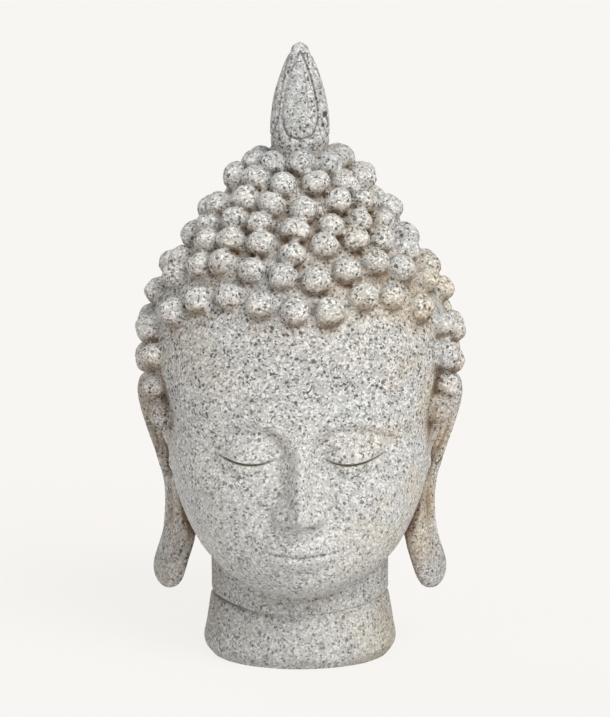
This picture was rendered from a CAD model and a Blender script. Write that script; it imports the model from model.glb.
"""The looks of a buddha head sculpture: one cast piece of granite-look stone.

The sculpture is formed like the solid it stands for, with a finer skin. Its eyes, lips, ears,
neck and bud are then carved, its surface is made a little uneven, and a speckled stone with
earth-coloured deposits in its hollows is put on it. Metres, +Z up, the face looks along -Y.
"""

import math

import bmesh
import bpy
import numpy as np
from mathutils import Matrix, Vector
from mathutils.kdtree import KDTree


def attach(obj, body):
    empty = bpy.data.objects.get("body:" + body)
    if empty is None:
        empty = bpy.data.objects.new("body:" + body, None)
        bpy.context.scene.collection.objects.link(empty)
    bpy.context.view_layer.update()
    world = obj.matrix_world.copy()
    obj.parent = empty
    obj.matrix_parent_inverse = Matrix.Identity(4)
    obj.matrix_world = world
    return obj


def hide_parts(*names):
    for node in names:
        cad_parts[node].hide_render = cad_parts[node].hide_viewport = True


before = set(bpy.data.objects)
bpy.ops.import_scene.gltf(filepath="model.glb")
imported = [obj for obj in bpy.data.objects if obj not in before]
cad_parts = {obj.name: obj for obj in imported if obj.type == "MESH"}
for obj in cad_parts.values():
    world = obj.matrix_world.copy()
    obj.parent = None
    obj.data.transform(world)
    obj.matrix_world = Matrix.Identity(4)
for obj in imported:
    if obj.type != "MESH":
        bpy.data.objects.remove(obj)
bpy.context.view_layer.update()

# Neck
NECK_HEIGHT = 0.030
FOOT_RADIUS = 0.0443
FOOT_ROUNDING = 0.0065
THROAT_RADIUS = 0.0405
NECK_FOLD_DEPTH = 0.0010
NECK_FOLD_WIDTH = 0.0011

# Head, from the chin to the foot of the bud
HEAD_HEIGHT = 0.196
HEAD_WIDTH = 0.1336
HEAD_DEPTH = 0.1390

# Curls
HAIR_GROUND = 0.0010
CURL_RADIUS = 0.0061
CURL_STANDS_OUT = 0.0018
CURL_PITCH = 0.0150
CURL_SCATTER = 0.0007

# Lotus bud
BUD_LENGTH = 0.054
BUD_RADIUS = 0.0135
PETAL_LINE_DEPTH = 0.0008

# Ears
EAR_LENGTH = 0.0990
EAR_WIDTH = 0.0372
EAR_THICKNESS = 0.0108
EAR_FOLD_DEPTH = 0.0010
EAR_ROOT = 0.0075

# How finely each form is netted before they are fused. Balls: subdivisions, then halvings.
HEAD_NET, EAR_NET, KNOB_NET = (6, 1), (5, 1), 3
# Turned forms: rings and steps.
NECK_NET, BUD_NET = (129, 160), (180, 200)
# Where the neck's form starts and ends and how deep the bud's is sunk, in shares of their heights.
NECK_FROM, NECK_TO = -0.13, 2
BUD_SUNK = 0.19

# Proportions of the head, in shares of its height
FACE_HEIGHT = 0.638 * HEAD_HEIGHT
JAW_RISE = 0.082 * HEAD_HEIGHT
JAW_ROUNDING = 0.102 * HEAD_HEIGHT
EAR_TOP = NECK_HEIGHT + 0.503 * HEAD_HEIGHT
EAR_TURN = math.radians(27)
CROWN = NECK_HEIGHT + HEAD_HEIGHT
SCALP_ROUNDING = 0.0204 * HEAD_HEIGHT
SCALP_TOP = CROWN + SCALP_ROUNDING
TOP = CROWN + BUD_LENGTH


def smooth_curve(*points):
    """A function that runs smoothly through (place, value) points."""
    place, value = np.array(points, float).T
    step = np.diff(place)
    system = np.eye(len(place)) * 2
    right = np.zeros(len(place))
    for i in range(1, len(place) - 1):
        share = step[i - 1] / (step[i - 1] + step[i])
        system[i, i - 1], system[i, i + 1] = 1 - share, share
        before = (value[i] - value[i - 1]) / step[i - 1]
        after = (value[i + 1] - value[i]) / step[i]
        right[i] = 3 * ((1 - share) * before + share * after)
    system[0, 1] = system[-1, -2] = 1
    right[0] = 3 * (value[1] - value[0]) / step[0]
    right[-1] = 3 * (value[-1] - value[-2]) / step[-1]
    slope = np.linalg.solve(system, right)

    def curve(x):
        x = np.clip(x, place[0], place[-1])
        i = np.clip(np.searchsorted(place, x, side="right") - 1, 0, len(step) - 1)
        t = (x - place[i]) / step[i]
        start = (1 + 2 * t) * (1 - t) ** 2 * value[i] + t * (1 - t) ** 2 * step[i] * slope[i]
        end = t**2 * (3 - 2 * t) * value[i + 1] + t**2 * (t - 1) * step[i] * slope[i + 1]
        return start + end

    return curve


def held(x):
    """x, kept between 0 and 1."""
    return np.clip(x, 0, 1)


def ease(low, high, x):
    """0 on the low side, 1 on the high side, and a smooth rise between them."""
    t = held((x - low) / (high - low))
    return t * t * (3 - 2 * t)


def bell(distance, reach):
    """1 in the middle, fading out smoothly past the reach."""
    return np.exp(-((distance / reach) ** 2))


def swell(x, z, at, reach):
    """A soft round swelling: 1 at its middle, fading out past its reach."""
    return np.exp(-(((x - at[0]) / reach[0]) ** 2) - ((z - at[1]) / reach[1]) ** 2)


def dome(x, z, at, reach, power=1.0):
    """A swelling with an outline: 1 at its middle and 0 from the outline on."""
    r2 = ((x - at[0]) / reach[0]) ** 2 + ((z - at[1]) / reach[1]) ** 2
    return held(1 - r2) ** power


def soft_max(a, b, softness):
    """The larger of two heights, with a rounded valley where they meet."""
    return 0.5 * (a + b + np.sqrt((a - b) ** 2 + softness**2) - softness)


# The face is drawn in shares of its height: u sideways from the middle, v up from the chin.
EYE_SHARES = (0.187, 0.578)
EYE_HALF_SHARE = 0.098
MOUTH_SHARE = 0.224
MOUTH_HALF_SHARE = 0.142

nose_height = smooth_curve(
    (0.26, 0.0), (0.30, 0.002), (0.325, 0.040), (0.345, 0.104), (0.372, 0.138), (0.41, 0.130),
    (0.48, 0.100), (0.54, 0.074), (0.60, 0.048), (0.66, 0.022), (0.72, 0.005), (0.80, 0.0),
)
nose_half_width = smooth_curve(
    (0.28, 0.050), (0.36, 0.059), (0.43, 0.046), (0.52, 0.038), (0.60, 0.038), (0.70, 0.052)
)


def brow_line(u):
    """Height of the brow's edge, a long low bow from the bridge of the nose."""
    return 0.638 + 0.060 * np.sin(np.pi * held((u - 0.02) / 0.38) ** 0.80)


def lid_line(u):
    """Height of the meeting lids, a shallow downward bow between the corners of the eye."""
    t = (u - EYE_SHARES[0]) / EYE_HALF_SHARE
    return EYE_SHARES[1] - 0.030 + 0.020 * t**2 + 0.004 * t


def mouth_line(u):
    """Height of the meeting lips, dipped in the middle and lifted at the corners."""
    return MOUTH_SHARE + 0.013 * (u / MOUTH_HALF_SHARE) ** 2 - 0.005 * bell(u, 0.032)


def eye_relief(u, v):
    """Socket below the brow, and the closed eye that fills it."""
    below_brow = ease(0, 0.050, brow_line(u) - v)
    above_cheek = ease(0.45, 0.57, v)
    sideways = ease(0.035, 0.10, u) * (1 - ease(0.28, 0.40, u))
    socket = below_brow * above_cheek * sideways
    corner = swell(u, v, (0.078, 0.600), (0.036, 0.045))
    ball = dome(u, v, EYE_SHARES, (0.138, 0.092), 1.5)
    relief = -0.032 * socket - 0.020 * corner + 0.042 * ball
    gap = v - lid_line(u)
    across = held(1 - ((u - EYE_SHARES[0]) / (EYE_HALF_SHARE * 1.15)) ** 2)
    upper_lid = ease(-0.005, 0.005, gap) * np.exp(-np.maximum(gap, 0) / 0.045)
    lower_lid = bell(gap + 0.016, 0.010)
    return relief + across**0.6 * (0.0100 * upper_lid + 0.0030 * lower_lid)


def nose_relief(u, v):
    """Straight bridge, rounded tip and the two wings."""
    bridge = nose_height(v) * np.exp(-((np.abs(u) / nose_half_width(v)) ** 2.2))
    under = ease(0.318, 0.345, v)
    wing = 0.080 * dome(u, v, (0.060, 0.372), (0.044, 0.048)) * under
    crease = swell(u, v, (0.108, 0.372), (0.016, 0.036))
    return soft_max(bridge, wing, 0.030) - 0.007 * crease


def mouth_relief(u, v):
    """Swell of the mouth, the philtrum and the two lips."""
    swelling = 0.036 * swell(u, v, (0, 0.232), (0.175, 0.105))
    philtrum = -0.006 * swell(u, v, (0, 0.300), (0.018, 0.028))
    line = mouth_line(u)
    narrowing = held(1 - (u / (MOUTH_HALF_SHARE * 1.04)) ** 2)
    bow = 0.007 * swell(u, 0, (0.034, 0), (0.022, 1))
    upper_height = 0.012 + narrowing**0.9 * (0.034 + bow)
    lower_height = 0.016 + narrowing**0.8 * 0.048
    upper = held((v - line) / upper_height)
    lower = held((line - v) / lower_height)
    upper_lip = 0.022 * (1 - upper**2.4) * (1 - 0.75 * bell(upper, 0.26))
    lower_lip = 0.028 * (1 - lower**2.2) * (1 - 0.80 * bell(lower, 0.20))
    lips = narrowing**0.8 * np.where(v >= line, upper_lip, lower_lip)
    corner = swell(u, v, (MOUTH_HALF_SHARE + 0.006, MOUTH_SHARE + 0.013), (0.026, 0.024))
    under_lip = swell(u, v, (0, 0.140), (0.095, 0.030))
    return swelling + philtrum + lips - 0.010 * corner - 0.014 * under_lip


def face_relief(u, v):
    """How far the face stands forward of the plain head, in shares of the face's height."""
    cheek = 0.024 * swell(u, v, (0.275, 0.40), (0.17, 0.19))
    chin = 0.034 * swell(u, v, (0, 0.070), (0.115, 0.075))
    beside_mouth = -0.008 * swell(u, v, (0.205, 0.235), (0.045, 0.09))
    return eye_relief(u, v) + nose_relief(u, v) + mouth_relief(u, v) + cheek + chin + beside_mouth


def read(items, key, width, kind=float):
    """One property of all of a mesh's points or edges, a row for each."""
    values = np.empty(len(items) * width, kind)
    items.foreach_get(key, values)
    return values.reshape(-1, width)


def read_points(mesh):
    return read(mesh.vertices, "co", 3)


def write_points(mesh, points):
    mesh.vertices.foreach_set("co", points.astype(np.float32).ravel())
    mesh.update()


def normals(mesh):
    """The direction straight out of the skin at each point."""
    return read(mesh.vertices, "normal", 3)


def edge_ends(mesh):
    """The first and the second point of every edge, by number."""
    return read(mesh.edges, "vertices", 2, np.int64).T


def neighbour_means(mesh):
    """A function that gives each point the mean of its neighbours' values."""
    a, b = edge_ends(mesh)
    count = len(mesh.vertices)
    near = np.bincount(a, minlength=count) + np.bincount(b, minlength=count)

    def means(values):
        return (np.bincount(a, values[b], count) + np.bincount(b, values[a], count)) / near

    return means


def mesh_from(net, name):
    """A new mesh of what the net holds. The net is used up."""
    mesh = bpy.data.meshes.new(name)
    net.to_mesh(mesh)
    net.free()
    return mesh


def add_object(name, data):
    thing = bpy.data.objects.new(name, data)
    bpy.context.scene.collection.objects.link(thing)
    return thing


def bake(thing):
    """Replace an object's mesh by what its modifiers make of it."""
    graph = bpy.context.evaluated_depsgraph_get()
    baked = bpy.data.meshes.new_from_object(thing.evaluated_get(graph))
    thing.modifiers.clear()
    thing.data = baked


def ball_object(name, subdivisions, halvings):
    """A ball of radius 1, as an even net of triangles."""
    net = bmesh.new()
    bmesh.ops.create_icosphere(net, subdivisions=subdivisions, radius=1)
    ball = add_object(name, mesh_from(net, name))
    finer = ball.modifiers.new("finer", "SUBSURF")
    finer.subdivision_type = "SIMPLE"
    finer.levels = finer.render_levels = halvings
    bake(ball)
    points = read_points(ball.data)
    write_points(ball.data, points / np.linalg.norm(points, axis=1, keepdims=True))
    return ball


def turned_object(name, point, low, high, rings, steps):
    """A closed round form about the vertical axis, shaped by point(turn, height)."""
    net = bmesh.new()
    line = [net.verts.new((0.01, 0, h)) for h in np.linspace(low, high, rings)]
    line = [net.verts.new((0, 0, low))] + line + [net.verts.new((0, 0, high))]
    edges = [net.edges.new(pair) for pair in zip(line, line[1:])]
    axis = {"axis": (0, 0, 1), "cent": (0, 0, 0), "angle": math.tau, "steps": steps}
    bmesh.ops.spin(net, geom=line + edges, use_merge=True, use_normal_flip=True, **axis)
    bmesh.ops.remove_doubles(net, verts=net.verts, dist=1e-6)
    mesh = mesh_from(net, name)
    points = read_points(mesh)
    around = np.hypot(points[:, 0], points[:, 1]) > 0.005
    points[around] = point(np.arctan2(points[:, 0], -points[:, 1]), points[:, 2])[around]
    write_points(mesh, points)
    return add_object(name, mesh)


# The plain head: half-width and depths by height, in shares of its own measures.
side_share = smooth_curve(
    (0.000, 0.494), (0.082, 0.621), (0.153, 0.741), (0.255, 0.853), (0.357, 0.901),
    (0.459, 0.940), (0.551, 1.000), (0.622, 0.994), (0.689, 0.933), (0.791, 0.752),
    (0.893, 0.556), (0.959, 0.405), (0.995, 0.265), (1.031, 0.170),
)
front_share = smooth_curve(
    (0.000, 0.863), (0.102, 0.921), (0.255, 0.942), (0.408, 0.961), (0.536, 0.967),
    (0.612, 0.942), (0.689, 0.878), (0.791, 0.712), (0.893, 0.525), (0.959, 0.382),
    (0.995, 0.270), (1.031, 0.170),
)
back_share = smooth_curve(
    (0.000, 0.489), (0.082, 0.604), (0.184, 0.770), (0.306, 0.935), (0.434, 1.010),
    (0.551, 1.029), (0.663, 0.950), (0.791, 0.734), (0.893, 0.530), (0.959, 0.382),
    (0.995, 0.270), (1.031, 0.170),
)


def profile(measure, share, height):
    """How far the plain head reaches to one side at a height: a share of half its measure."""
    return measure / 2 * share((height - NECK_HEIGHT) / HEAD_HEIGHT)


def scalp_radius(turn, height):
    """Distance of the plain head's surface from its axis. turn is 0 at the face."""
    front = np.cos(turn) > 0
    forward = profile(HEAD_DEPTH, front_share, height)
    depth = np.where(front, forward, profile(HEAD_DEPTH, back_share, height))
    brow_to_crown = ease(0.46, 0.71, (height - NECK_HEIGHT) / HEAD_HEIGHT)
    power = np.where(front, 2.35 - 0.35 * brow_to_crown, 2.0)
    sideways = (np.abs(np.sin(turn)) / profile(HEAD_WIDTH, side_share, height)) ** power
    lengthways = (np.abs(np.cos(turn)) / depth) ** power
    return (sideways + lengthways) ** (-1 / power)


def at_turn(radius, turn, height):
    """The point at this distance from the upright axis, this turn from the face and height."""
    return np.stack([radius * np.sin(turn), -radius * np.cos(turn), height + 0 * turn], axis=-1)


def scalp_point(turn, height):
    """A point of the plain head's surface."""
    return at_turn(scalp_radius(turn, height), turn, height)


def scalp_normal(turn, height):
    """The direction straight out of the plain head."""
    along = scalp_point(turn + 0.01, height) - scalp_point(turn - 0.01, height)
    upward = scalp_point(turn, height + 0.0005) - scalp_point(turn, height - 0.0005)
    normal = np.cross(along, upward)
    return normal / np.linalg.norm(normal, axis=-1, keepdims=True)


def head_object(subdivisions, halvings):
    """The head without hair: a rounded form with the face's relief on its front."""
    head = ball_object("head", subdivisions, halvings)
    x, y, z = read_points(head.data).T
    turn = np.arctan2(x, -y)
    lift = (1 - np.cos(np.minimum(np.abs(turn), 2.0))) / (1 - np.cos(2.0))
    lowest = NECK_HEIGHT + JAW_RISE * lift
    height = lowest + (SCALP_TOP - lowest) * (1 + z) / 2
    rounding = held((height - lowest) / JAW_ROUNDING)
    closing = held((SCALP_TOP - height) / SCALP_ROUNDING)
    cap = (1 - (1 - rounding) ** 2.4) ** (1 / 2.4) * (1 - (1 - closing) ** 2) ** 0.5
    points = scalp_point(turn, height)
    points[:, :2] *= cap[:, None]
    in_front = ease(math.radians(105), math.radians(60), np.abs(turn))
    relief = face_relief(np.abs(points[:, 0]) / FACE_HEIGHT, (height - NECK_HEIGHT) / FACE_HEIGHT)
    points[:, 1] -= FACE_HEIGHT * relief * in_front * ease(0, 0.25, rounding)
    outward = points - (0, 0, NECK_HEIGHT + HEAD_HEIGHT / 2)
    outward /= np.linalg.norm(outward, axis=1, keepdims=True)
    points += HAIR_GROUND * in_hair(points, 0.05)[:, None] * outward
    write_points(head.data, points)
    return head


# The neck between its rounded foot and the throat, by height in shares of the neck's height.
neck_share = smooth_curve(
    (0.0, 1.0), (0.22, 1.0), (0.42, 0.70), (0.63, 0.42), (0.85, 0.14), (1.1, 0.0)
)
foot_share = smooth_curve(
    (-0.14, -1.0), (0.0, -0.60), (0.12, -0.20), (0.26, -0.02), (0.40, 0.0)
)


def fold_level(turn):
    """The height of the neck's fold line, which rises from the throat to the sides."""
    return NECK_HEIGHT * (0.80 + 0.15 * ease(0, 1.5, np.abs(turn)))


def neck_point(turn, height):
    """A point of the neck, with one fold line around it."""
    share = height / NECK_HEIGHT
    flare = (FOOT_RADIUS - THROAT_RADIUS) * neck_share(share) + FOOT_ROUNDING * foot_share(share)
    fold = bell(height - fold_level(turn), NECK_FOLD_WIDTH)
    return at_turn(THROAT_RADIUS + flare - NECK_FOLD_DEPTH * fold, turn, height)


# The bud and one petal's half-width, by height in shares of the bud's length and radius.
bud_share = smooth_curve(
    (0.000, 0.900), (0.074, 0.935), (0.148, 0.975), (0.269, 1.000), (0.389, 0.970),
    (0.519, 0.896), (0.641, 0.778), (0.759, 0.615), (0.861, 0.444), (0.926, 0.320),
    (0.978, 0.170), (1.000, 0.000),
)
petal_share = smooth_curve(
    (0.208, 0.000), (0.220, 0.222), (0.257, 0.459), (0.338, 0.620), (0.444, 0.650),
    (0.556, 0.570), (0.704, 0.400), (0.833, 0.200), (0.926, 0.000),
)


# A petal's foot, how far it rises and its tip, in shares of the bud's length.
PETAL_FOOT, PETAL_RISE, PETAL_TIP = 0.208, 0.718, 0.926


def off_petal(turn):
    """The angle from the middle of the nearest of the four petals."""
    return (turn + math.pi / 4) % (math.pi / 2) - math.pi / 4


def bud_point(turn, height):
    """A point of the bud; four petals are drawn on it with fine lines."""
    rise = (height - CROWN) / BUD_LENGTH
    radius = BUD_RADIUS * bud_share(np.maximum(rise, 0))
    from_petal = np.abs(off_petal(turn)) * radius
    on_petal = (rise > PETAL_FOOT) & (rise < PETAL_TIP)
    outline = BUD_RADIUS * np.where(on_petal, petal_share(rise), -0.3)
    edge = bell(from_petal - outline, 0.060 * BUD_RADIUS)
    return at_turn(radius - PETAL_LINE_DEPTH * edge * ease(0.90, 0.72, rise), turn, height)


# The ear's plate by height, 0 at the lobe and 1 at the top: its width and thickness, and how
# far out its middle line runs, in shares of the ear's and the head's own measures.
ear_width_share = smooth_curve(
    (0.000, 0.699), (0.100, 0.699), (0.220, 0.634), (0.350, 0.591), (0.500, 0.656),
    (0.650, 0.817), (0.800, 0.968), (0.920, 1.000), (1.000, 0.968),
)
ear_thickness_share = smooth_curve(
    (0.000, 1.111), (0.250, 1.000), (0.600, 0.889), (1.000, 0.852),
)
ear_place_share = smooth_curve(
    (0.000, 0.913), (0.100, 0.894), (0.220, 0.841), (0.350, 0.816), (0.500, 0.823),
    (0.650, 0.871), (0.800, 0.940), (0.920, 0.981), (1.000, 0.996),
)
ear_forward_share = smooth_curve((0.0, -0.011), (0.35, 0.007), (0.70, 0.022), (1.0, 0.036))


def ear_relief(s, t):
    """Folds of the outer ear: s from its front edge -1 to its back edge 1, t from below."""
    upper = ease(0.34, 0.50, t)
    ring = np.sqrt(((s - 0.20) / 0.80) ** 2 + (np.maximum(t - 0.82, 0) / 0.18) ** 2)
    rim = bell(ring - 0.82, 0.17) * ease(-0.75, 0.0, s + 4 * (t - 0.84))
    hollow = dome(s, t, (0.30, 0.71), (0.48, 0.235), 0.8)
    bowl = dome(s, t, (-0.02, 0.60), (0.40, 0.110), 0.8)
    ridge = swell(s - 1.4 * (t - 0.70), t, (0.33, 0.71), (0.12, 0.14))
    tragus = swell(s, t, (-0.48, 0.59), (0.16, 0.050))
    channel = swell(s, t, (0.15, 0.38), (0.36, 0.16))
    folds = 1.6 * rim - 2.8 * hollow - 2.4 * bowl + 2.2 * ridge + 2.2 * tragus
    return EAR_FOLD_DEPTH * (folds * upper - 1.4 * channel)


def ear_object(side, subdivisions, halvings):
    """One ear: a long plate, its back edge turned outward. side is -1 or 1."""
    ear = ball_object("ear", subdivisions, halvings)
    x, y, z = read_points(ear.data).T
    s = x / np.maximum(np.sqrt(1 - np.clip(z, -1, 1) ** 2), 1e-4)
    t = (1 + z) / 2
    r = np.minimum(np.sqrt(x**2 + z**2), 1)
    from_end = np.minimum(t, 1 - t) * EAR_LENGTH
    closing = held(from_end / (np.where(t < 0.5, 0.31, 0.35) * EAR_WIDTH))
    width = 0.5 * EAR_WIDTH * ear_width_share(t) * (1 - (1 - closing) ** 2.2) ** (1 / 2.2)
    thickness = 0.5 * EAR_THICKNESS * ear_thickness_share(t) * (1 - r**3.0) ** (1 / 3.0)
    relief = np.where(y > 0, ear_relief(s, t), 0) * (1 - r**6)
    root = EAR_ROOT * dome(s, t, (0.02, 0.70), (1.05, 0.44), 0.8) * (1 - r**6)
    outward = np.sign(y) * thickness + np.maximum(relief, -1.2 * thickness)
    outward = outward - np.where(y < 0, root, 0)
    across = s * width
    middle_x = 0.5 * HEAD_WIDTH * ear_place_share(t)
    middle_y = HEAD_DEPTH * ear_forward_share(t)
    points = np.stack([
        side * (middle_x + across * math.sin(EAR_TURN) + outward * math.cos(EAR_TURN)),
        middle_y + across * math.cos(EAR_TURN) - outward * math.sin(EAR_TURN),
        EAR_TOP - EAR_LENGTH * (1 - t),
    ], axis=1)
    write_points(ear.data, points)
    if side < 0:
        ear.data.flip_normals()
    return ear


# Rows of curls from the crown down: height above the chin at the face, in shares of the
# head's height, shift along the row in curl widths, and how widely the curls are set.
FRONT_ROWS = (
    (0.993, 0.05, 1.00), (0.955, 0.50, 1.06), (0.903, 0.17, 1.06), (0.859, -0.12, 1.06),
    (0.811, -0.20, 1.05), (0.7535, 0.52, 1.05), (0.687, -0.14, 1.08),
)
LOW_ROWS = 8
LOW_ROW_SHARE = 0.0653
# How far a row rises above its height at the face, against the turn from the face: along the
# hairline, and higher up.
hairline_wave = smooth_curve(
    (0, 0.0), (13, 0.012), (27, 0.028), (42, 0.022), (56, -0.008), (66, -0.046),
    (80, -0.077), (105, -0.070), (140, -0.045), (180, -0.040),
)
upper_wave = smooth_curve(
    (0, 0.0), (13, 0.012), (27, 0.028), (42, 0.030), (56, 0.014), (66, -0.008),
    (75, -0.034), (85, -0.058), (105, -0.066), (140, -0.045), (180, -0.040),
)


def has_curl(turn, share):
    """Whether hair grows here below the front rows: not on the face, the ears or the neck."""
    before_ear = 66 < turn < 76 and share > 0.39
    above_ear = turn >= 76 and NECK_HEIGHT + share * HEAD_HEIGHT > EAR_TOP - 0.001
    behind_ear = turn > 109 + 15 * ease(0.40, 0.18, share) and share > 0.10
    return before_ear or above_ear or behind_ear


def curl_places():
    """(turn, height) of every curl, row by row from the crown to the nape."""
    rows = list(FRONT_ROWS)
    for n in range(1, LOW_ROWS + 1):
        rows.append((FRONT_ROWS[-1][0] - n * LOW_ROW_SHARE, 0.5 * (n % 2) - 0.08, 1.0))
    places = []
    for row, (level, shift, spread) in enumerate(rows):
        wave = upper_wave if row < len(FRONT_ROWS) - 1 else hairline_wave
        height = NECK_HEIGHT + level * HEAD_HEIGHT
        sideways, back = (HEAD_WIDTH, side_share), (HEAD_DEPTH, back_share)
        radius = (profile(*sideways, height) + profile(*back, height)) / 2 + CURL_STANDS_OUT
        count = round(math.tau * radius / (CURL_PITCH * spread))
        strength = held((0.96 - level) / 0.153)
        for n in range(count):
            turn = math.remainder(math.tau * (n + shift) / count, math.tau)
            degrees = abs(math.degrees(turn))
            share = level + strength * wave(degrees)
            if row < len(FRONT_ROWS) or has_curl(degrees, share):
                places.append((turn, NECK_HEIGHT + share * HEAD_HEIGHT))
    return places


# The hair's lower edge: turns from the face in degrees, and the heights there. Then its top.
# Heights are in shares of the head's height.
HAIR_EDGE = (
    (0, 25, 45, 64, 70, 78, 84, 106, 118, 130, 180),
    (0.62, 0.64, 0.64, 0.60, 0.38, 0.38, 0.53, 0.53, 0.20, 0.08, 0.08),
)
HAIR_TOP = 1.01


def in_hair(points, border=0.001):
    """1 where the hair grows, 0 on the face, the ears, the neck and the bud."""
    x, y, z = points.T
    turn = np.degrees(np.abs(np.arctan2(x, -y)))
    share = (z - NECK_HEIGHT) / HEAD_HEIGHT
    return ease(0, border, share - np.interp(turn, *HAIR_EDGE)) * (share < HAIR_TOP)


# The skin: how fine it is fused, how far its valleys are filled, and how many faces it keeps.
SKIN_STEP = 0.0007
VALLEY_FILLING = 3
VALLEY_STEP = 0.8
SKIN_FACES = 150000
LINE_ROUNDS = 2

# How far carved lines reach from their middle, and the least cut that counts.
SLIT_REACH, CREASE_REACH, LIP_REACH = 0.00055, 0.00070, 0.00050
NECK_LINE_REACH, PETAL_CUT_REACH, SCRATCH_REACH = 0.00060, 0.00056, 0.00045
LEAST_CUT = 0.00003
# The crevices between curls that touch.
CREVICE_DEPTH, CREVICE_REACH = 0.00110, 0.00150

# The scratch on the right ear: where it starts and runs, sideways and upward, and how far back.
SCRATCH_START, SCRATCH_RUN = (0.0625, 0.0846), (0.0034, 0.0040)
SCRATCH_BACK = 0.030

# The chips at the right edge of the bud: sideways place, height and half-height of each.
BUD_CHIPS = (0.0112, 0.2478, 0.0014), (0.0103, 0.2430, 0.0009)

# Chance bumps and dents: name, size, height, and the group of points that has them.
DENTS = (
    ("broad", 0.012, 0.00045, ""),
    ("fine", 0.0035, 0.00030, ""),
    ("lumpy", 0.0060, 0.00175, "curls"),
    ("chipped", 0.0024, 0.00090, "curls"),
)

# Fusing and evening out take a little off each curl, so they start fuller.
CURL_FULLNESS = 1.07
CURL_LIFT = CURL_STANDS_OUT + 0.0004
# How much a curl's size may differ, as a share, and the scatter's seed.
CURL_UNEVEN = 0.07
SCATTER_SEED = 7


def curl_spots():
    """Each curl's middle, the way it points, and its radius."""
    scatter = np.random.default_rng(SCATTER_SEED)
    spots = []
    for turn, height in curl_places():
        turn = turn + scatter.normal(0, CURL_SCATTER) / scalp_radius(turn, height)
        height = height + scatter.normal(0, CURL_SCATTER)
        radius = CURL_FULLNESS * CURL_RADIUS * (1 + scatter.uniform(-CURL_UNEVEN, CURL_UNEVEN))
        outward = Vector(scalp_normal(np.array(turn), height))
        centre = Vector(scalp_point(np.array(turn), height)) + outward * CURL_LIFT
        spots.append((centre, outward, radius))
    return spots


def curl_object(subdivisions):
    """All the curls, as one object of separate knobs on short stalks."""
    net = bmesh.new()
    for centre, outward, radius in curl_spots():
        place = Matrix.Translation(centre)
        knob = bmesh.ops.create_icosphere(
            net, subdivisions=subdivisions, radius=radius, matrix=place
        )
        for corner in knob["verts"]:
            along = (corner.co - centre).dot(outward) / radius
            sideways = (corner.co - centre) / radius - along * outward
            if along < 0 and sideways.length > 1e-6:
                straight = max(1 - along**4, 0) ** 0.25
                sideways = straight * sideways.normalized()
                corner.co = centre + radius * (sideways + 1.9 * along * outward)
    return add_object("curls", mesh_from(net, "curls"))


def soften_valleys(thing, where, passes):
    """Fill the sharp valleys between the curls, and leave the knobs themselves alone."""
    mesh = thing.data
    points, means = read_points(mesh), neighbour_means(mesh)
    for _ in range(passes):
        move = np.stack([means(values) for values in points.T], axis=1) - points
        hollow = (move * normals(mesh)).sum(axis=1) > 0
        points += VALLEY_STEP * (where * hollow)[:, None] * move
        write_points(mesh, points)


def skin_pieces(mesh):
    """For each point, the lowest number among the points of the closed skin it belongs to."""
    a, b = edge_ends(mesh)
    piece = np.arange(len(mesh.vertices))
    while True:
        lower = piece.copy()
        np.minimum.at(lower, a, piece[b])
        np.minimum.at(lower, b, piece[a])
        lower = lower[lower]
        if (lower == piece).all():
            return piece
        piece = lower


def drop_bubbles(thing):
    """Remove the tiny closed pockets that melting leaves inside, and keep the outer skin."""
    piece = skin_pieces(thing.data)
    outer = np.bincount(piece).argmax()
    net = bmesh.new()
    net.from_mesh(thing.data)
    net.verts.ensure_lookup_table()
    loose = [net.verts[index] for index in np.flatnonzero(piece != outer).tolist()]
    bmesh.ops.delete(net, geom=loose, context="VERTS")
    net.to_mesh(thing.data)
    net.free()


def fused(name, things, step, smoothing):
    """Melt closed forms that run into each other into one skin."""
    joined = bmesh.new()
    for thing in things:
        joined.from_mesh(thing.data)
        bpy.data.objects.remove(thing)
    whole = add_object(name, mesh_from(joined, name))
    skin = whole.modifiers.new("skin", "REMESH")
    skin.mode = "VOXEL"
    skin.voxel_size = step
    soft = whole.modifiers.new("soft", "SMOOTH")
    soft.factor = 0.5
    soft.iterations = smoothing
    bake(whole)
    drop_bubbles(whole)
    return whole


def cut_in(thing, depths):
    """Move each of the skin's points inward, square to the skin, by its own depth."""
    mesh = thing.data
    write_points(mesh, read_points(mesh) - depths[:, None] * normals(mesh))


def between_curls(points):
    """1 along the crevice where two curls touch, 0 on their tops and on open ground."""
    spots = curl_spots()
    tree = KDTree(len(spots))
    for index, (middle, _, _) in enumerate(spots):
        tree.insert(middle, index)
    tree.balance()
    hairy = np.flatnonzero(in_hair(points))
    gaps = [[found[2] for found in tree.find_n(points[i], 2)] for i in hairy]
    nearest, second = np.array(gaps).T
    share = np.zeros(len(points))
    share[hairy] = bell(second - nearest, CREVICE_REACH)
    share[hairy] *= ease(1.40, 1.10, nearest / CURL_RADIUS)
    return share


def cast_object(name):
    """The whole cast, as one fine skin, before its underside is cut flat."""
    head = head_object(*HEAD_NET)
    neck_run = NECK_FROM * NECK_HEIGHT, NECK_TO * NECK_HEIGHT
    neck = turned_object("neck", neck_point, *neck_run, *NECK_NET)
    bud = turned_object("bud", bud_point, CROWN - BUD_SUNK * BUD_LENGTH, TOP, *BUD_NET)
    ears = [ear_object(side, *EAR_NET) for side in (-1, 1)]
    curls = curl_object(KNOB_NET)
    cast = fused(name, [head, neck, bud, curls] + ears, SKIN_STEP, 1)
    soften_valleys(cast, in_hair(read_points(cast.data)), VALLEY_FILLING)
    cut_in(cast, CREVICE_DEPTH * between_curls(read_points(cast.data)))
    return cast


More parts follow.
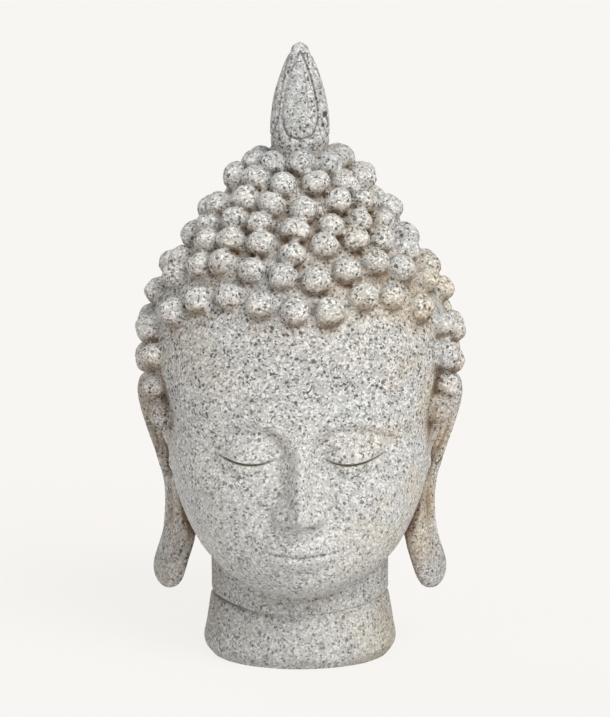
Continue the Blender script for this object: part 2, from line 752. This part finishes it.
def face_place(points):
    """u, v of each point on the face, and 1 on the face's front, 0 elsewhere."""
    x, y, z = points.T
    u, v = np.abs(x) / FACE_HEIGHT, (z - NECK_HEIGHT) / FACE_HEIGHT
    front = ease(-0.20, -0.32, y / FACE_HEIGHT) * ease(0.02, 0.06, v) * ease(0.80, 0.74, v)
    return u, v, front


def slit_line(points):
    """The dark line between the closed lids, 1 at its middle."""
    u, v, front = face_place(points)
    t = (u - EYE_SHARES[0] - 0.006) / 0.116
    along = held(1 - t**2) ** 0.5
    return front * along * bell((v - lid_line(u)) * FACE_HEIGHT, SLIT_REACH)


def crease_line(points):
    """The fine fold above the upper lid."""
    u, v, front = face_place(points)
    t = (u - EYE_SHARES[0]) / 0.122
    height = EYE_SHARES[1] - 0.004 + 0.044 * np.sqrt(held(1 - t**2))
    along = held(1 - t**4)
    return front * along * bell((v - height) * FACE_HEIGHT, CREASE_REACH)


def lip_line(points):
    """The line between the lips, fading out at the corners."""
    u, v, front = face_place(points)
    along = held(1 - (u / (MOUTH_HALF_SHARE * 1.02)) ** 2) ** 0.6
    return front * along * bell((v - mouth_line(u)) * FACE_HEIGHT, LIP_REACH)


def nostril(points):
    """The hollow of each nostril, 1 at its middle."""
    u, v, front = face_place(points)
    return front * dome(u, v, (0.037, 0.330), (0.019, 0.012))


def neck_line(points):
    """The fold line around the neck, cut a little deeper, not quite level."""
    x, y, z = points.T
    turn = np.arctan2(x, -y)
    level = fold_level(turn) + 0.0003 * np.sin(2 * turn + 0.6) + 0.0002 * np.sin(5 * turn)
    return bell(z - level, NECK_LINE_REACH)


def petal_lines(points):
    """The outlines of the bud's petals, fainter on one side, and a line inside each."""
    share = np.zeros(len(points))
    rise = (points[:, 2] - CROWN) / BUD_LENGTH
    on_bud = (rise > 0.12) & (np.hypot(points[:, 0], points[:, 1]) < 1.2 * BUD_RADIUS)
    x, y, z = points[on_bud].T
    rise = rise[on_bud]
    turn, radius = np.arctan2(x, -y), np.hypot(x, y)
    across = off_petal(turn) * radius
    drawn = PETAL_FOOT + PETAL_RISE * (0.5 - 0.5 * np.cos(np.linspace(0, math.pi, 240)))
    edge = vein = np.ones(len(rise))
    for level, width in zip(drawn, BUD_RADIUS * petal_share(drawn)):
        along = ((rise - level) * BUD_LENGTH) ** 2
        edge = np.minimum(edge, (np.abs(across) - width) ** 2 + along)
        vein = np.minimum(vein, (across - 0.42 * width) ** 2 + along)
    outline = bell(np.sqrt(edge), PETAL_CUT_REACH)
    outline *= 1 - 0.45 * ease(0, -0.003, across) * ease(0.28, 0.36, rise)
    inner = bell(np.sqrt(vein), 0.8 * PETAL_CUT_REACH)
    inner *= 0.6 * ease(0.36, 0.50, rise) * ease(0.84, 0.76, rise)
    share[on_bud] = np.maximum(outline, inner)
    return share


def ear_scratch(points):
    """A short slanting scratch across the right ear, as the real piece has."""
    x, y, z = points.T
    start, along = np.array(SCRATCH_START), np.array(SCRATCH_RUN)
    place = np.stack([x, z], axis=1) - start
    share = held(place @ along / (along @ along))
    away = np.linalg.norm(place - share[:, None] * along, axis=1)
    return (y < SCRATCH_BACK) * bell(away, SCRATCH_REACH)


def bud_chips(points):
    """A small chip and a smaller one under it at the right edge of the bud, dark inside."""
    x, y, z = points.T
    share = np.zeros(len(points))
    for across, height, half in BUD_CHIPS:
        away = ((x - across) / (0.8 * half)) ** 4 + ((z - height) / half) ** 4
        share = np.maximum(share, np.exp(-away))
    return share * (y < 0)


# What is carved, how deep, and how dark the dirt in it is, from 0 to 1. The line round the neck
# is darker to the left.
CARVED = (
    (slit_line, 0.00085, 1.0),
    (crease_line, 0.00022, 0.0),
    (lip_line, 0.00060, 0.46),
    (nostril, 0.0014, 0.45),
    (neck_line, 0.00055, 0.22),
    (ear_scratch, 0.00040, 0.8),
    (bud_chips, 0.00040, 1.0),
    (petal_lines, 0.00058, 0.68),
)
NECK_DIRT_LEFT = 0.72


def carved_depth(points):
    """How deep the chisel goes at each point, in metres."""
    return sum(depth * mark(points) for mark, depth, _ in CARVED)


def line_mask(points):
    """How dark the dirt of a carved line is at each point."""
    x, y, z = points.T
    to_the_left = bell(np.degrees(np.arctan2(x, -y)) + 62, 30)
    dirt = {mark: dark for mark, _, dark in CARVED}
    dirt[neck_line] = dirt[neck_line] + (NECK_DIRT_LEFT - dirt[neck_line]) * to_the_left
    return np.maximum.reduce([dark * mark(points) for mark, dark in dirt.items()])


def on_ears(points):
    """1 on the ears' plates, 0 elsewhere."""
    x, y, z = points.T
    turn = np.arctan2(x, -y)
    beyond = np.hypot(x, y) - scalp_radius(turn, z)
    side = ease(52, 60, np.degrees(np.abs(turn))) * ease(122, 112, np.degrees(np.abs(turn)))
    return side * ease(0.0005, 0.0030, beyond) * ease(EAR_TOP + 0.002, EAR_TOP - 0.004, z)


def thin_out(thing, faces):
    """Bring the skin down to about so many triangles."""
    thing.data.calc_loop_triangles()
    thinner = thing.modifiers.new("thinner", "DECIMATE")
    thinner.ratio = faces / len(thing.data.loop_triangles)
    thinner.use_collapse_triangulate = True
    bake(thing)


def refine_lines(thing, rounds):
    """Give the skin more points along the carved lines."""
    net = bmesh.new()
    net.from_mesh(thing.data)
    for _ in range(rounds):
        points = np.array([corner.co for corner in net.verts])
        near = carved_depth(points) > LEAST_CUT
        net.verts.index_update()
        edges = [e for e in net.edges if near[e.verts[0].index] or near[e.verts[1].index]]
        bmesh.ops.subdivide_edges(net, edges=edges, cuts=1)
        bmesh.ops.triangulate(net, faces=[f for f in net.faces if len(f.verts) > 3])
    net.to_mesh(thing.data)
    net.free()


def make_uneven(thing):
    """Small chance bumps and dents, as in any hand-finished cast, and rougher curls."""
    curls = thing.vertex_groups.new(name="curls")
    curls.add(np.flatnonzero(in_hair(read_points(thing.data))).tolist(), 1.0, "REPLACE")
    for name, size, height, where in DENTS:
        cloud = bpy.data.textures.new(name + " dents", "CLOUDS")
        cloud.noise_scale = size
        dents = thing.modifiers.new(name, "DISPLACE")
        dents.texture = cloud
        dents.texture_coords = "LOCAL"
        dents.vertex_group = where
        dents.mid_level = 0.5
        dents.strength = height
    bake(thing)
    thing.vertex_groups.clear()


def cut_flat(thing):
    """Cut everything below the underside away and close the cut."""
    net = bmesh.new()
    net.from_mesh(thing.data)
    everything = net.verts[:] + net.edges[:] + net.faces[:]
    cut = bmesh.ops.bisect_plane(
        net, geom=everything, plane_co=(0, 0, 0), plane_no=(0, 0, -1), clear_outer=True
    )
    rim = [e for e in cut["geom_cut"] if isinstance(e, bmesh.types.BMEdge)]
    for edge in rim:
        edge.smooth = False
    bmesh.ops.triangle_fill(net, edges=rim, use_beauty=True, normal=(0, 0, -1))
    net.to_mesh(thing.data)
    net.free()


def spread_out(mesh, values, passes):
    """Values at the mesh's points, each evened out with its neighbours' so many times."""
    means = neighbour_means(mesh)
    for _ in range(passes):
        values = 0.5 * values + 0.5 * means(values)
    return values


# How deep a hollow full of earth is, how high a wholly worn crest is, and how often the skin and
# the earth on it are evened out.
FULL_HOLLOW, WORN_CREST = 0.0015, 0.0016
EVENING_PASSES, SPREADING_PASSES = 40, 6
# Shares of earth: on the left (-X) and the right (+X) ear and in the pocket before each, in the
# hair, what a surface that faces down adds there, and on the brow.
EAR_EARTH, POCKET_EARTH = (0.42, 0.40), (0.75, 0.45)
HAIR_EARTH, UNDER_CURL_EARTH, BROW_EARTH = 0.10, 0.52, 0.19
# The pocket: how far out and how high it is, and its reach both ways.
POCKET_AT, POCKET_REACH = (0.0600, 0.117), (0.0050, 0.0085)
# How far the face and the neck have been wiped clean.
FACE_WIPED, NECK_WIPED = 0.85, 0.75


def depth_of_skin(mesh, passes):
    """How deep each point lies under the even level around it, in metres, below 0 on crests."""
    points = read_points(mesh)
    evened = np.stack([spread_out(mesh, values, passes) for values in points.T], axis=1)
    return ((evened - points) * normals(mesh)).sum(axis=1)


def deposit_shares(mesh, depth):
    """How much earth clings to each point: most under the curls and in deep hollows."""
    points, upward = read_points(mesh), normals(mesh)[:, 2]
    x, y, z = points.T
    earth = held(depth / FULL_HOLLOW)
    earth *= 1.5 - 1.0 * ease(-0.4, 0.6, upward)
    under_curls = HAIR_EARTH + UNDER_CURL_EARTH * ease(0.08, -0.65, upward)
    earth = np.maximum(earth, in_hair(points) * under_curls)
    earth *= 1 - FACE_WIPED * face_place(points)[2]
    earth *= 1 - NECK_WIPED * ease(0.058, 0.050, z)
    pocket = swell(np.abs(x), z, POCKET_AT, POCKET_REACH)
    pocket *= ease(0.010, 0.000, y) * np.where(x < 0, *POCKET_EARTH)
    lobe_to_rim = 0.65 + 0.35 * ease(0.055, 0.095, z)
    on_ear = np.where(x < 0, *EAR_EARTH) * on_ears(points) * lobe_to_rim
    brow = BROW_EARTH * (1 - in_hair(points)) * ease(0.118, 0.136, z) * ease(0.226, 0.216, z)
    return spread_out(mesh, np.maximum.reduce([earth, on_ear, pocket, brow]), SPREADING_PASSES)


def sculpture_piece():
    """The sculpture's visible piece: formed, thinned, carved, and marked for its colours."""
    piece = cast_object("buddha_head_skin")
    thin_out(piece, SKIN_FACES)
    refine_lines(piece, LINE_ROUNDS)
    cut_in(piece, carved_depth(read_points(piece.data)))
    make_uneven(piece)
    cut_flat(piece)
    mesh = piece.data
    points, depth = read_points(mesh), depth_of_skin(mesh, EVENING_PASSES)
    marks = {
        "deposit": deposit_shares(mesh, depth),
        "worn": held(-depth / WORN_CREST) * in_hair(points),
        "line": line_mask(points),
    }
    for name, shares in marks.items():
        layer = mesh.attributes.new(name, "FLOAT", "POINT")
        layer.data.foreach_set("value", shares.astype(np.float32))
    for face in mesh.polygons:
        face.use_smooth = True
    mesh.materials.append(granite_stone())
    return piece


class Shading:
    """A short way to write a material's nodes and join them up."""

    def __init__(self, name):
        self.material = bpy.data.materials.new(name)
        self.material.use_nodes = True
        self.tree = self.material.node_tree
        self.shader = self.tree.nodes["Principled BSDF"]

    def node(self, kind, inputs=None, **settings):
        made = self.tree.nodes.new(kind)
        for key, value in settings.items():
            setattr(made, key, value)
        for socket, value in (inputs or {}).items():
            self.set(made.inputs[socket], value)
        return made

    def set(self, socket, value):
        if isinstance(value, bpy.types.NodeSocket):
            self.tree.links.new(value, socket)
        else:
            socket.default_value = value

    def math(self, operation, *values):
        made = self.node("ShaderNodeMath", operation=operation)
        for socket, value in zip(made.inputs, values):
            self.set(socket, value)
        return made.outputs[0]

    def product(self, first, *others):
        for other in others:
            first = self.math("MULTIPLY", first, other)
        return first

    def mix(self, share, first, second, blend="MIX", label=""):
        made = self.node("ShaderNodeMix", data_type="RGBA", blend_type=blend, label=label)
        self.set(made.inputs["Factor"], share)
        self.set(made.inputs["A"], first)
        self.set(made.inputs["B"], second)
        return made.outputs["Result"]

    def ramp(self, value, stops, interpolation="LINEAR"):
        made = self.node("ShaderNodeValToRGB", {"Fac": value})
        ramp = made.color_ramp
        ramp.interpolation = interpolation
        while len(ramp.elements) < len(stops):
            ramp.elements.new(1.0)
        for element, (place, colour) in zip(ramp.elements, stops):
            element.position = place
            element.color = (*colour, 1)
        return made.outputs["Color"]

    def rise(self, value, low, high):
        """0 up to low, 1 from high on, and a straight rise between them."""
        made = self.node("ShaderNodeMapRange", {"Value": value, "From Min": low, "From Max": high})
        return made.outputs["Result"]

    def noise(self, place, scale, detail=2.0, roughness=0.5):
        inputs = {"Vector": place, "Scale": scale, "Detail": detail, "Roughness": roughness}
        return self.node("ShaderNodeTexNoise", inputs).outputs

    def cells(self, place, scale):
        """Irregular grains: how far from a grain's middle, and three chance values of the grain."""
        made = self.node("ShaderNodeTexVoronoi", {"Vector": place, "Scale": scale})
        parts = self.node("ShaderNodeSeparateColor", {"Color": made.outputs["Color"]})
        return made.outputs["Distance"], parts.outputs


# The stone's fine grain: cells per metre, and its tones by each grain's chance value.
GRAINS = 1250
GRAIN_TONES = (
    (0.00, (0.088, 0.089, 0.092)),
    (0.070, (0.265, 0.265, 0.260)),
    (0.22, (0.468, 0.468, 0.455)),
    (0.62, (0.558, 0.558, 0.545)),
    (0.80, (0.752, 0.752, 0.742)),
)
# Larger flecks: cells per metre, the chance value that picks some of them and how, where their
# edge starts and ends, how far they cover, and their colour.
FLECKS = (
    (560, "Red", "LESS_THAN", 0.085, (0.52, 0.34), 1.0, (0.078, 0.078, 0.082)),
    (560, "Green", "GREATER_THAN", 0.90, (0.52, 0.34), 1.0, (0.78, 0.775, 0.76)),
    (430, "Blue", "GREATER_THAN", 0.970, (0.34, 0.22), 1.0, (0.20, 0.122, 0.115)),
    (330, "Red", "LESS_THAN", 0.036, (0.38, 0.28), 0.85, (0.068, 0.068, 0.072)),
)
# How the grains' edges wander: cells per metre, and how far, in metres.
WANDER_SCALE, WANDER = 1400, 0.0011
# Cloudy patches over the stone, and their cooler and warmer tone.
PATCH_SCALE = 38
PATCH_TONES = (0.30, (0.895, 0.90, 0.905)), (0.70, (1.025, 1.025, 1.01))
# What lies over the grain, from the lowest layer up: whether it tints (MULTIPLY) or covers
# (MIX), its colour and its strength. Then what it follows, with the value where it is absent
# and the value where it is full. Heights and places sideways are in metres.
LAYERS = {
    "worn crests": ("MULTIPLY", (1.13, 1.125, 1.11), 1.0, [("worn", 0.0, 1.0)]),
    "dust": ("MIX", (0.53, 0.475, 0.38), 0.13, [("patches", 0.35, 0.65)]),
    "faded low face": (
        "MIX", (0.50, 0.50, 0.485), 0.20, [("height", 0.130, 0.075), ("deposit", 0.32, 0.15)]
    ),
    "neck": ("MULTIPLY", (0.84, 0.84, 0.83), 1.0, [("height", 0.058, 0.044)]),
    "bud": ("MULTIPLY", (0.92, 0.925, 0.935), 1.0, [("height", 0.222, 0.232)]),
    "grime at the foot": (
        "MULTIPLY", (0.70, 0.69, 0.60), 1.0, [("height", 0.0060, 0.0), ("patches", 0.35, 0.60)]
    ),
    "ochre": (
        "MULTIPLY", (0.97, 0.89, 0.765), 0.85, [("sideways", 0.01, 0.06), ("patches", 0.42, 0.60)]
    ),
    "film of earth": (
        "MULTIPLY", (0.62, 0.525, 0.43), 1.0, [("deposit", 0.06, 0.60), ("patches", 0.15, 0.55)]
    ),
    "packed earth": ("MULTIPLY", (0.34, 0.245, 0.170), 0.92, [("deposit", 0.38, 0.85)]),
    "dirt in the lines": ("MIX", (0.075, 0.056, 0.038), 1.0, [("line", 0.12, 0.80)]),
}
# Roughness: the least, and what the roughest grains have above it. Pits: how many per metre.
LEAST_ROUGH, ROUGHER = 0.62, 0.18
PIT_SCALE = 900


def granite_stone():
    """Light grey granite-look stone: fine grains, dark flecks, and earth in the hollows."""
    s = Shading("granite_stone_speckled")
    place = s.node("ShaderNodeTexCoord").outputs["Object"]
    wander = s.noise(place, WANDER_SCALE)["Color"]
    wander = s.node("ShaderNodeVectorMath", {0: wander, 1: (-0.5,) * 3}).outputs[0]
    shift = s.node("ShaderNodeVectorMath", {0: wander, "Scale": WANDER}, operation="SCALE")
    grain_place = s.node("ShaderNodeVectorMath", {0: place, 1: shift.outputs[0]}).outputs[0]

    grain_distance, grain = s.cells(grain_place, GRAINS)
    colour = s.ramp(grain["Red"], GRAIN_TONES, "CONSTANT")
    for scale, chance, test, limit, (edge, middle), share, paint in FLECKS:
        distance, fleck = s.cells(grain_place, scale)
        picked = s.math(test, fleck[chance], limit)
        shown = s.product(share, s.rise(distance, edge, middle), picked)
        colour = s.mix(shown, colour, (*paint, 1))

    patches = s.noise(place, PATCH_SCALE, 3.0)["Fac"]
    colour = s.mix(1.0, colour, s.ramp(patches, PATCH_TONES), "MULTIPLY")
    sideways, _, height = s.node("ShaderNodeSeparateXYZ", {"Vector": place}).outputs
    guides = {"patches": patches, "sideways": sideways, "height": height}
    for mark in ("deposit", "worn", "line"):
        guides[mark] = s.node("ShaderNodeAttribute", attribute_name=mark).outputs["Fac"]
    for name, (blend, paint, strength, follows) in LAYERS.items():
        shares = [s.rise(guides[guide], absent, full) for guide, absent, full in follows]
        colour = s.mix(s.product(strength, *shares), colour, (*paint, 1), blend, name)
    s.set(s.shader.inputs["Base Color"], colour)

    rougher = s.math("MULTIPLY", s.rise(grain["Green"], 0.0, 1.0), ROUGHER)
    s.set(s.shader.inputs["Roughness"], s.math("ADD", rougher, LEAST_ROUGH))
    s.shader.inputs["Specular IOR Level"].default_value = 0.35

    pits = s.noise(place, PIT_SCALE, 3.0, 0.6)["Fac"]
    level = s.math("ADD", pits, s.math("MULTIPLY", grain_distance, -0.5))
    bump = s.node("ShaderNodeBump", {"Height": level, "Strength": 0.35, "Distance": 0.0002})
    s.set(s.shader.inputs["Normal"], bump.outputs["Normal"])
    return s.material


# The floor from its flat middle out: distance from the middle, and height.
FLOOR_PROFILE = (6, 0), (7, 0.03), (7.8, 0.16), (8.4, 0.42), (8.8, 0.8), (9, 1.3)
FLOOR_FINISH = {
    "Base Color": (0.10, 0.099, 0.098, 1),
    "Roughness": 0.9,
    "Specular IOR Level": 0.0,
    "Emission Color": (1.0, 0.975, 0.955, 1),
    "Emission Strength": 0.838,
}


def pale_floor():
    """A plain pale floor. Far out its edge turns up, so no horizon shows."""
    net = bmesh.new()
    bmesh.ops.create_circle(net, cap_ends=True, segments=96, radius=FLOOR_PROFILE[0][0])
    rim = list(net.edges)
    for (inner, _), (outer, height) in zip(FLOOR_PROFILE, FLOOR_PROFILE[1:]):
        grown = bmesh.ops.extrude_edge_only(net, edges=rim)["geom"]
        rim = [part for part in grown if isinstance(part, bmesh.types.BMEdge)]
        rim = [edge for edge in rim if edge.is_boundary]
        for corner in {corner for edge in rim for corner in edge.verts}:
            corner.co *= outer / inner
            corner.co.z = height
    for face in net.faces:
        face.smooth = True
    mesh = mesh_from(net, "floor")
    floor = add_object("floor", mesh)
    s = Shading("pale_floor")
    for name, value in FLOOR_FINISH.items():
        s.shader.inputs[name].default_value = value
    mesh.materials.append(s.material)


# The lamps: degrees to the camera's right, degrees up, strength, spread in degrees.
LAMPS = {"key": (30, 39, 2.47, 38), "rim": (215, 35, 0.45, 40)}
SURROUNDINGS_COLOUR = (1.0, 0.985, 0.972, 1)
SURROUNDINGS_STRENGTH = 0.42


def soft_light(name, side, height, strength, spread):
    """A wide lamp far away."""
    lamp = bpy.data.lights.new(name, "SUN")
    lamp.energy = strength
    lamp.angle = math.radians(spread)
    light = add_object(name, lamp)
    a, e = math.radians(side), math.radians(height)
    towards = Vector((math.sin(a) * math.cos(e), -math.cos(a) * math.cos(e), math.sin(e)))
    light.location = 2 * towards
    light.rotation_euler = (-towards).to_track_quat("-Z", "Y").to_euler()


def studio():
    """Even pale surroundings, a soft key light from the upper right and a weak one behind."""
    world = bpy.data.worlds.new("studio")
    bpy.context.scene.world = world
    world.use_nodes = True
    surroundings = world.node_tree.nodes["Background"]
    surroundings.inputs["Color"].default_value = SURROUNDINGS_COLOUR
    surroundings.inputs["Strength"].default_value = SURROUNDINGS_STRENGTH
    for name, settings in LAMPS.items():
        soft_light(name, *settings)
    bpy.context.scene.view_settings.view_transform = "Standard"


# The camera's place, what it looks at, its sensor, and the focal length and the picture's height
# in pixels.
CAMERA_PLACE, CAMERA_AIM = (0.0023, -1.9, 0.455), (0.0023, 0, 0.1354)
SENSOR_HEIGHT = 24
FOCAL_PIXELS, PICTURE_PIXELS = 4233, 717


def camera():
    """The photograph's view: from the front, a little above, with a long lens."""
    place, aim = Vector(CAMERA_PLACE), Vector(CAMERA_AIM)
    lens = bpy.data.cameras.new("camera")
    lens.sensor_fit = "VERTICAL"
    lens.sensor_height = SENSOR_HEIGHT
    lens.lens = SENSOR_HEIGHT * FOCAL_PIXELS / PICTURE_PIXELS
    view = add_object("camera", lens)
    view.location = place
    view.rotation_euler = (aim - place).to_track_quat("-Z", "Y").to_euler()
    bpy.context.scene.camera = view


camera()
studio()
pale_floor()
skin = sculpture_piece()
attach(skin, "root")
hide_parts("buddha_head")
